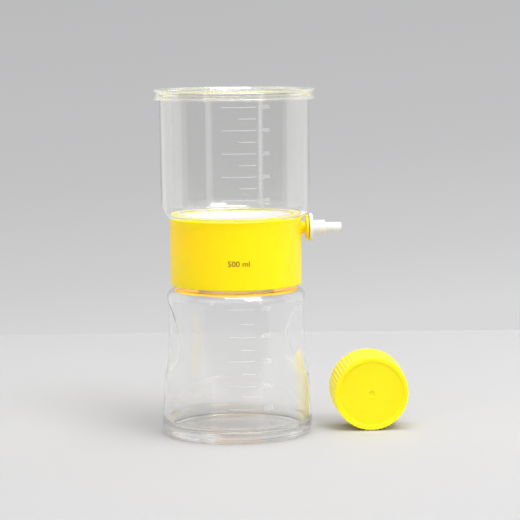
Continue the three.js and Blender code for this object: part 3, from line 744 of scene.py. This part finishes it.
collar_outline = closed(
    [
        (SKIRT_BORE_R, 0, 0.4),
        (COLLAR_R, 0, 0.5),
        (COLLAR_R, COLLAR_HEIGHT, 0.4),
        (SEAT_R, COLLAR_HEIGHT, 0.3),
        (SEAT_R, COLLAR_HEIGHT - SEAT_DEPTH, 0.3),
        (GRID_SEAT_R, COLLAR_HEIGHT - SEAT_DEPTH, 0.2),
        (GRID_SEAT_R, COLLAR_HEIGHT - GRID_SEAT_DEPTH, 0.2),
        (DRAIN_R, DRAIN_TOP_Z, 1.0),
        (DRAIN_R, SPOUT_FOOT_Z, 0.4),
        (SPOUT_FOOT_R, SPOUT_FOOT_Z, 0.4),
        (SPOUT_ROOT_R, DECK_UNDERSIDE_Z, 0.8),
        (LEDGE_BORE_R, DECK_UNDERSIDE_Z, 0.8),
        (LEDGE_BORE_R, LEDGE_Z, 0.4),
        (SOCKET_R, LEDGE_Z, 0.4),
        (SOCKET_R, SOCKET_FOOT_Z, 0.4),
        (SOCKET_OUTER_R, SOCKET_FOOT_Z, 0.4),
        (SOCKET_OUTER_R, DECK_UNDERSIDE_Z, 0.8),
        (SKIRT_BORE_R, DECK_UNDERSIDE_Z, 0.8),
    ]
)
collar_foot = foot_of("filter_collar")
yellow_plastic = yellow_material("yellow plastic", COLLAR_DEEP, COLLAR_LIGHT, light_in_skirt)
collar_grid = turned(collar_outline, collar_foot, COLLAR_TURNS)
collar = skin("collar_body", [collar_grid], yellow_plastic, ring=True)
thread_grid = thread_ridge(SOCKET_R, NECK_R + THREAD_PLAY, THREAD_MIDDLE - THREAD_PITCH / 2)
socket_thread = skin("collar_thread", [thread_grid], yellow_plastic)

PORT_DROP = 7.7  # from the collar's top to the port's axis
PORT_TURNS = 96
PORT_BORE_R = 1.5
PORT_ROOT_R, PORT_ROOT_X = 4.9, 41.3
PORT_NECK_R, PORT_NECK_X = 3.75, 43.9
PORT_FLANGE_R, PORT_FLANGE_X, PORT_FLANGE_THICKNESS = 8.2, 45.8, 1.6
NIPPLE_R, NIPPLE_END_X = 2.5, 53.0
PORT_FACE_X = PORT_FLANGE_X + PORT_FLANGE_THICKNESS


def along_port(grid):
    """Lays a piece turned about +Z along +X, at the port's height: (x, y, z) becomes (z, y, height - x)."""
    x, y, z = np.moveaxis(grid, -1, 0)
    return np.stack([z, y, collar_foot + COLLAR_HEIGHT - PORT_DROP - x], -1)


port_outline = closed(
    [
        (PORT_BORE_R, PORT_ROOT_X, 0.2),
        (PORT_ROOT_R, PORT_ROOT_X, 0.2),
        (PORT_NECK_R, PORT_NECK_X, 0.9),
        (PORT_NECK_R, PORT_FLANGE_X, 0.5),
        (PORT_FLANGE_R, PORT_FLANGE_X, 0.5),
        (PORT_FLANGE_R, PORT_FACE_X, 0.5),
        (NIPPLE_R, PORT_FACE_X, 0.3),
        (NIPPLE_R, NIPPLE_END_X, 0.4),
        (PORT_BORE_R, NIPPLE_END_X, 0.2),
    ]
)
port = skin("side_port", [along_port(turned(port_outline, 0, PORT_TURNS))], yellow_plastic, ring=True)
for piece in (collar, socket_thread, port):
    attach(piece, "head")
    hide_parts("filter_collar")

PRINT_Z, PRINT_START, PRINT_SIZE = 17.0, -6.5, 5.2  # over the collar's foot, in degrees, and in mm
INK_THICK, INK_THIN = (0.020, 0.018, 0.010, 1), (0.06, 0.05, 0.02, 1)


def print_material():
    """Black printing ink, a little uneven and brown where it is thin."""
    made, nodes = new_material("printing ink")
    blotch = nodes.noise(2500.0, 2.0)
    finish = nodes.add(
        "BsdfPrincipled",
        {},
        {
            "Base Color": blotch.colour(INK_THICK, INK_THIN),
            "Roughness": blotch * 0.2 + 0.35,
        },
    )
    finish_material(nodes, finish)
    return made


def collar_wall(z):
    """The skirt's outside, less the height that a moulded mark would have."""
    return COLLAR_R - MARK_HEIGHT + 0 * np.asarray(z, float)


print_points, print_faces = mark_number(
    "500 ml", collar_wall, collar_foot + PRINT_Z, PRINT_START, PRINT_SIZE
)
ink = put("collar_print", print_points * MM, print_faces, print_material())
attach(ink, "head")

# ---- Support grid and membrane ----
# A slotted white disc lies in the collar's well, and a thin white porous membrane lies on it and shows
# through the foot of the cup, with a narrow yellow margin round it.
MEMBRANE_R, MEMBRANE_THICKNESS, MEMBRANE_EDGE = 37.5, 0.2, 0.08
GRID_LOW, GRID_HIGH = (0.80, 0.79, 0.75, 1), (0.86, 0.85, 0.81, 1)
FILM_LOW, FILM_HIGH, FILM_GLOSS = (0.50, 0.50, 0.50, 1), (0.54, 0.54, 0.54, 1), 0.05


def white_material(name, low, high, roughness, grain_depth, gloss=0.5):
    """White plastic or film: a slight mottling of its colour and a fine grain."""
    made, nodes = new_material(name)
    cloud = nodes.noise(120.0, 3.0)
    grain = nodes.noise(5000.0, 3.0)
    finish = nodes.add(
        "BsdfPrincipled",
        {},
        {
            "Base Color": cloud.colour(low, high),
            "Roughness": grain * 0.15 + roughness,
            "Specular IOR Level": gloss,
            "Normal": grain.bumps_from(grain_depth),
        },
    )
    finish_material(nodes, finish)
    return made


grid_plastic = white_material("grid plastic", GRID_LOW, GRID_HIGH, 0.4, 0.00002)
support_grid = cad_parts["support_grid"]
support_grid.data.materials.clear()
support_grid.data.materials.append(grid_plastic)
membrane_film = white_material("porous film", FILM_LOW, FILM_HIGH, 0.75, 0.00002, FILM_GLOSS)
membrane_outline = rounded(
    [
        (0, 0),
        (MEMBRANE_R, 0, MEMBRANE_EDGE),
        (MEMBRANE_R, MEMBRANE_THICKNESS, MEMBRANE_EDGE),
        (0, MEMBRANE_THICKNESS),
    ]
)
membrane_grid = turned(membrane_outline, foot_of("filter_membrane"))
membrane = skin("membrane_disc", [membrane_grid], membrane_film)
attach(membrane, "head")
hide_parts("filter_membrane")

# ---- Filter cup ----
# Clear moulded polystyrene, welded to the collar: its outside is nearly straight, its inside narrows to
# the foot, where the wall is thick and turns in under a wide corner.
CUP_HEIGHT = 81.3
CUP_FOOT_R = 48.3
CUP_TOP_R = 48.6
CUP_CORNER_R, CUP_CORNER_HEIGHT = 5.3, 9.3
CUP_OPENING_R = 38.4
CUP_TOP_WALL, CUP_FOOT_WALL, CUP_FOOT_THICKNESS = 1.2, 2.0, 1.5
CUP_FLOOR_R = 42.0
CUP_WELD, CUP_WELD_MARGIN = 0.35, 0.6  # how far it reaches down to the collar, and in from the corner
RIM_R, RIM_HEIGHT = 49.6, 1.6
CUP_TINT = (0.985, 0.988, 0.974, 1)
CORNER_BEND_START, CORNER_BEND_FULL = 44.4, 46.4  # from the axis
CORNER_BEND_LOW, CORNER_BEND_HIGH = 6, 11  # over the cup's foot
CORNER_BEND_SHARE = 0.85
cup_foot = foot_of("funnel_cup")


def cup_radius(z):
    """The outer wall: a straight taper from the corner at the foot to the rim."""
    share = (np.asarray(z, float) - cup_foot - CUP_CORNER_HEIGHT) / (CUP_HEIGHT - CUP_CORNER_HEIGHT)
    return CUP_FOOT_R + (CUP_TOP_R - CUP_FOOT_R) * share


def cup_outline():
    """Up the outside from the opening in the foot, over the rim and down the inside, with an elliptical arc
    at the corner outside and inside."""
    corner = (CUP_FOOT_R - CUP_CORNER_R, CUP_CORNER_HEIGHT)
    reach_in = CUP_FOOT_R - CUP_FOOT_WALL - CUP_FLOOR_R
    rise_in = CUP_CORNER_HEIGHT - CUP_FOOT_THICKNESS
    outer = elliptic(corner, CUP_CORNER_R, CUP_CORNER_HEIGHT, -88, 0, 28)
    rim = rounded(
        [
            (*outer[-1], 0),
            (CUP_TOP_R, CUP_HEIGHT - RIM_HEIGHT - 1, 0.8),
            (RIM_R, CUP_HEIGHT - RIM_HEIGHT, 0.5),
            (RIM_R, CUP_HEIGHT, 0.5),
            (CUP_TOP_R - CUP_TOP_WALL, CUP_HEIGHT, 0.5),
            (CUP_FOOT_R - CUP_FOOT_WALL, CUP_CORNER_HEIGHT, 0),
        ]
    )
    inner = elliptic((CUP_FLOOR_R, CUP_CORNER_HEIGHT), reach_in, rise_in, 0, -90, 28)
    foot = rounded(
        [
            (*inner[-1], 0),
            (CUP_OPENING_R, CUP_FOOT_THICKNESS, 0.3),
            (CUP_OPENING_R, -CUP_WELD, 0.3),
            (corner[0] - CUP_WELD_MARGIN, -CUP_WELD, 0.1),
            (*outer[0], 0),
        ],
        4,
    )
    return np.vstack([outer[:-1], rim, inner[1:], foot[1:-1]])


def bent_by_corner(nodes):
    """The wide corner at the foot bends most light away, over the shoulder that stands out past the
    collar."""
    from_axis = nodes.distance(nodes.axis("X"), nodes.axis("Y"))
    outside = from_axis.between(CORNER_BEND_START * MM, CORNER_BEND_FULL * MM)
    low, high = (cup_foot + CORNER_BEND_LOW) * MM, (cup_foot + CORNER_BEND_HIGH) * MM
    return outside * (1.0 - nodes.axis("Z").between(low, high)) * CORNER_BEND_SHARE


cup_plastic = clear_material("cup polystyrene", CUP_TINT, bends=bent_by_corner)
cup = skin("cup_body", [turned(cup_outline(), cup_foot)], cup_plastic, ring=True)
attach(cup, "head")
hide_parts("funnel_cup")

CUP_MARK_TOP, CUP_MARK_STEP, CUP_MARKS = 214.2, 7.29, 9
CUP_LONG_START, CUP_SHORT_START, CUP_MARK_END = -9.2, 3.65, 16.7  # degrees
CUP_NUMBER_START, CUP_NUMBER_SIZE = 21.5, 3.4
cup_bars, cup_numbers = [], []
for step in range(CUP_MARKS):
    mark_z = CUP_MARK_TOP - CUP_MARK_STEP * step
    is_long = step % 2 == 0
    mark_start = CUP_LONG_START if is_long else CUP_SHORT_START
    cup_bars.append(mark_bar(cup_radius, mark_z, mark_start, CUP_MARK_END))
    if is_long:
        millilitres = str(500 - 50 * step)
        cup_numbers.append(
            mark_number(millilitres, cup_radius, mark_z, CUP_NUMBER_START, CUP_NUMBER_SIZE)
        )
marks("cup_scale", cup_bars, cup_numbers, mark_plastic, "head")

# ---- Lid ----
# Clear moulded polystyrene, resting on the cup's rim: a flange, a short skirt with a lip at its foot, and
# a panel that sinks into the cup, with the gate's mark at its middle.
LID_R, LID_HEIGHT = 52.2, 6.6
LID_SKIRT_R, LID_SKIRT_BORE_R = 51.1, 50.0
LID_LIP, LID_LIP_SLOPE = 0.9, 0.55  # the skirt's foot and the flange both stand out by a lip
FLANGE_INNER_R, FLANGE_UNDERSIDE_Z = 48.1, 5.5
PLUG_R = 47.0  # the step that drops inside the cup's rim
LID_PANEL_R, LID_PANEL_Z, LID_PANEL_TOP_Z = 45.9, 3.2, 4.3
LID_GATE_R, LID_GATE_HEIGHT = 1.8, 0.55
# The lid's painted edge glow: an emission where it is seen edge-on.
LID_TINT, LID_PAINTED_EDGE_GLOW = (0.985, 0.985, 0.955, 1), (0.07, 0.07, 0.055, 1)

lid_outline = rounded(
    [
        (0, LID_PANEL_Z),
        (LID_PANEL_R, LID_PANEL_Z, 0.8),
        (PLUG_R, LID_PANEL_TOP_Z, 0.5),
        (PLUG_R, FLANGE_UNDERSIDE_Z, 0.4),
        (LID_SKIRT_BORE_R, FLANGE_UNDERSIDE_Z, 0.4),
        (LID_SKIRT_BORE_R, 0, 0.3),
        (LID_R, 0, 0.35),
        (LID_R, LID_LIP, 0.35),
        (LID_SKIRT_R, LID_LIP + LID_LIP_SLOPE, 0.4),
        (LID_SKIRT_R, LID_HEIGHT - LID_LIP - LID_LIP_SLOPE, 0.4),
        (LID_R, LID_HEIGHT - LID_LIP, 0.35),
        (LID_R, LID_HEIGHT, 0.35),
        (FLANGE_INNER_R, LID_HEIGHT, 0.5),
        (LID_PANEL_R, LID_PANEL_TOP_Z, 0.8),
        (LID_GATE_R * 2, LID_PANEL_TOP_Z, 0.8),
        (LID_GATE_R, LID_PANEL_TOP_Z + LID_GATE_HEIGHT - 0.1, 0.8),
        (0, LID_PANEL_TOP_Z + LID_GATE_HEIGHT),
    ]
)
lid_plastic = clear_material("lid polystyrene", LID_TINT, painted_edge_glow=LID_PAINTED_EDGE_GLOW)
lid = skin("lid_body", [turned(lid_outline, foot_of("funnel_lid"))], lid_plastic)
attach(lid, "head")
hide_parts("funnel_lid")

# ---- Hose connector ----
# A stepped connector of white plastic, pushed onto the port: a flange against the port's, a barrel for
# wide tubing and a tip for narrow, with a plug of cotton inside it.
CONNECTOR_FLANGE_R, CONNECTOR_FLANGE_THICKNESS = 9.3, 2.3
CONNECTOR_BORE_R, CONNECTOR_BORE_DEPTH = 2.8, 9.1  # for the port's nipple
BARREL_R, BARREL_END = 4.75, 10.4
TIP_R, TIP_BORE_R, TIP_END = 3.2, 1.6, 21.2
CONNECTOR_LOW, CONNECTOR_HIGH = (0.80, 0.79, 0.74, 1), (0.87, 0.86, 0.82, 1)
COTTON_LOW, COTTON_HIGH = (0.82, 0.82, 0.80, 1), (0.90, 0.90, 0.88, 1)

connector_plastic = white_material("connector plastic", CONNECTOR_LOW, CONNECTOR_HIGH, 0.3, 0.00001)
connector_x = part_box("hose_connector")[0].x / MM
connector_outline = closed(
    [
        (CONNECTOR_BORE_R, 0, 0.3),
        (CONNECTOR_FLANGE_R, 0, 0.6),
        (CONNECTOR_FLANGE_R, CONNECTOR_FLANGE_THICKNESS, 0.6),
        (BARREL_R, CONNECTOR_FLANGE_THICKNESS, 0.6),
        (BARREL_R, BARREL_END, 0.4),
        (TIP_R, BARREL_END + 0.5, 0.4),
        (TIP_R, TIP_END, 0.5),
        (TIP_BORE_R, TIP_END, 0.3),
        (TIP_BORE_R, CONNECTOR_BORE_DEPTH, 0.3),
        (CONNECTOR_BORE_R, CONNECTOR_BORE_DEPTH, 0.3),
    ]
)
connector_grid = along_port(turned(connector_outline, connector_x, PORT_TURNS))
connector = skin("connector_body", [connector_grid], connector_plastic, ring=True)
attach(connector, "connector")
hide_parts("hose_connector")
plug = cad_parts["connector_plug"]
plug.data.materials.clear()
plug.data.materials.append(white_material("cotton", COTTON_LOW, COTTON_HIGH, 0.8, 0.0002))

# ---- Bottle cap ----
# The bottle's yellow screw cap lies on its side: fine grip ribs run along it, the face has a rounded edge
# round a shallow panel with the gate's mark, and a soft liner lies in it.
CAP_HEIGHT = 28.0
CAP_FACE_R, CAP_FACE_EDGE = 24.5, 1.2
CAP_FLARE = 0.8  # how much wider the side is at its mouth
CAP_LEAN = math.atan(CAP_FLARE / CAP_HEIGHT)
CAP_BORE_DEPTH = 25.5
CAP_MOUTH_R, CAP_HEM_R, CAP_HEM_HEIGHT = 24.75, 25.27, 0.6
CAP_SIDE_START, CAP_SIDE_END, CAP_SIDE_ROWS = 1.2, CAP_HEIGHT - 1.8, 14
CAP_PANEL_R, CAP_PANEL_DEPTH = 20.8, 0.5
CAP_GATE_R, CAP_GATE_DEPTH, CAP_GATE_PIP = 1.5, 0.8, 0.4  # below the panel, with a pip in its middle
CAP_THREAD_MIDDLE = 15.0
CAP_RIBS, RIB_DEPTH, STEPS_PER_RIB = 56, 0.65, 10
RIB_START, RIB_RISE = 1.0, 0.6  # over the mouth
RIB_END, RIB_FALL = CAP_HEIGHT - 0.1, 0.5
LINER_R, LINER_Z, LINER_THICKNESS = 22.5, 24.2, 1.0
CAP_DEEP, CAP_LIGHT = (0.97, 0.79, 0.003, 1), (1.0, 0.85, 0.006, 1)
# The cap's painted glow: an emission on its lower side and, fainter, on its face, standing in for light
# soaking through the thin plastic.
CAP_PAINTED_GLOW_FACE, CAP_PAINTED_GLOW_SIDE = (0.08, 0.02, 0, 1), (0.26, 0.20, 0, 1)
CAP_PAINTED_GLOW_LOW, CAP_PAINTED_GLOW_HIGH = -7, 17  # from its axis, full below the one and none above the other


def press_ribs(radius, angle, height):
    """Cuts grooves between the ribs: depth * (0.5 + 0.5 cos(ribs * angle)) ** 0.7 on the cap's side, fading
    out at the hem and on the rounded edge of the face."""
    wave = (0.5 + 0.5 * np.cos(CAP_RIBS * angle)) ** 0.7
    rising, falling = (height - RIB_START) / RIB_RISE, (RIB_END - height) / RIB_FALL
    side = np.clip(rising, 0, 1) * np.clip(falling, 0, 1)
    return radius - np.where(radius > SOCKET_R + 0.5, RIB_DEPTH * wave * side, 0)


def lay_cap(grid):
    """Lays a piece that stands on the cap's mouth on the cap's side, along -Y and leaning by its taper, t:
    (x, y, z) becomes (x, -y sin t - z cos t, y cos t - z sin t)."""
    x, y, z = np.moveaxis(grid, -1, 0)
    c, s = math.cos(CAP_LEAN), math.sin(CAP_LEAN)
    return np.stack([x, -y * s - z * c, y * c - z * s], -1)


def cap_outline():
    """From the middle of the bore's end down the bore, up the tapered side and in over the face to the
    gate's mark, with a circular arc at the face's edge."""
    bore = rounded(
        [
            (0, CAP_BORE_DEPTH),
            (SOCKET_R, CAP_BORE_DEPTH, 0.5),
            (SOCKET_R, 0, 0.3),
            (CAP_MOUTH_R, 0, 0.3),
            (CAP_HEM_R, CAP_HEM_HEIGHT),
        ]
    )
    z = np.linspace(CAP_SIDE_START, CAP_SIDE_END, CAP_SIDE_ROWS)
    side = np.column_stack([CAP_FACE_R + CAP_FLARE * (1 - z / CAP_HEIGHT), z])
    centre = (CAP_FACE_R - CAP_FACE_EDGE, CAP_HEIGHT - CAP_FACE_EDGE)
    edge = elliptic(centre, CAP_FACE_EDGE, CAP_FACE_EDGE, 5, 88, 9)
    panel_z = CAP_HEIGHT - CAP_PANEL_DEPTH
    face = rounded(
        [
            (centre[0] - 0.2, CAP_HEIGHT),
            (CAP_PANEL_R + 0.5, CAP_HEIGHT, 0.4),
            (CAP_PANEL_R, panel_z, 0.4),
            (CAP_GATE_R + 0.4, panel_z, 0.3),
            (CAP_GATE_R, panel_z - CAP_GATE_DEPTH, 0.3),
            (0.5, panel_z - CAP_GATE_DEPTH, 0.2),
            (0.4, panel_z - CAP_GATE_DEPTH + CAP_GATE_PIP, 0.2),
            (0, panel_z - CAP_GATE_DEPTH + CAP_GATE_PIP),
        ]
    )
    return np.vstack([bore, side, edge, face])


cap_grid = lay_cap(turned(cap_outline(), 0, CAP_RIBS * STEPS_PER_RIB, press_ribs))
cap_low, cap_high = (np.array(corner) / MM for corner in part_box("bottle_cap"))
cap_shift = cap_low - cap_grid.reshape(-1, 3).min(0)


def light_in_cap(nodes):
    """A painted glow, an emission that stands in for light soaking through: the thin side glows faintly in
    its lower part, and the face more faintly. Other pieces don't catch this light."""
    middle = (cap_low + cap_high) / 2
    x, z = nodes.axis("X") - middle[0] * MM, nodes.axis("Z") - middle[2] * MM
    side = nodes.math("GREATER_THAN", nodes.distance(x, z), (CAP_FACE_R - 0.9) * MM)
    low_side = side * (1.0 - z.between(CAP_PAINTED_GLOW_LOW * MM, CAP_PAINTED_GLOW_HIGH * MM))
    painted_glow = low_side.colour(CAP_PAINTED_GLOW_FACE, CAP_PAINTED_GLOW_SIDE)
    return nodes.add("LightPath", output="Is Diffuse Ray").colour(painted_glow, DARK)


cap_plastic = yellow_material("cap plastic", CAP_DEEP, CAP_LIGHT, light_in_cap)
cap = skin("cap_body", [cap_grid + cap_shift], cap_plastic)
cap_ridge = lay_cap(thread_ridge(SOCKET_R, NECK_R + THREAD_PLAY, CAP_THREAD_MIDDLE))
cap_thread = skin("cap_thread", [cap_ridge + cap_shift], cap_plastic)
for piece in (cap, cap_thread):
    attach(piece, "bottle")
    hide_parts("bottle_cap")
liner_top = LINER_Z + LINER_THICKNESS
liner_outline = rounded(
    [(0, LINER_Z), (LINER_R, LINER_Z, 0.3), (LINER_R, liner_top, 0.3), (0, liner_top)]
)
liner = skin("cap_seal", [lay_cap(turned(liner_outline)) + cap_shift], soft_seal)
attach(liner, "bottle")
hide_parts("cap_liner")
